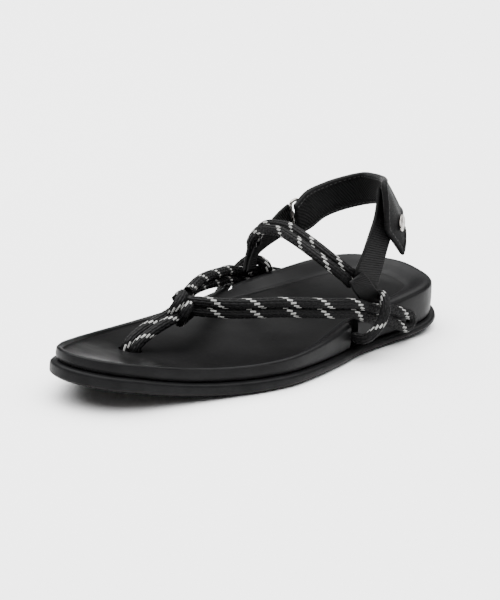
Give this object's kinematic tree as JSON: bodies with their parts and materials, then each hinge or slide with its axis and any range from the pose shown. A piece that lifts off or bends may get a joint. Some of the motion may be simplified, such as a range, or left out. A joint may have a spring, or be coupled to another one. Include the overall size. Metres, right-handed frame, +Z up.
{
  "type": "rope sandal",
  "caption": "Toe-post sandal for the left foot: moulded footbed on a rubber sole, doubled rope straps, an instep rope, webbing legs and a padded heel strap with a hook-and-loop end",
  "frame": {"origin": "middle of the bounding box at floor level, under the arch of the sole", "axes": "+Z up, toe towards -Y, heel towards +Y, outer (lateral) side of the left foot towards +X"},
  "size_m": [0.1042, 0.268, 0.0902],
  "materials": {
    "sole_rubber": "matt black rubber",
    "footbed_foam": "moulded foam skin, satin black",
    "insole_foam": "soft black top sheet, fine grain",
    "rope": "braided black cord with pale flecks",
    "webbing": "black ribbed webbing",
    "strap_cloth": "black twill lining with bound edges",
    "metal": "satin metal"
  },
  "bodies": {
    "root": {"outsole": "sole_rubber", "footbed": "footbed_foam", "insole": "insole_foam", "rope_upper": "rope", "instep_rope": "rope", "anchor_loop_lateral": "rope", "anchor_loop_medial": "rope", "webbing_lateral": "webbing", "webbing_medial": "webbing", "heel_strap": "strap_cloth", "strap_ring": "metal", "badge_plate": "metal"}
  },
  "joints": []
}
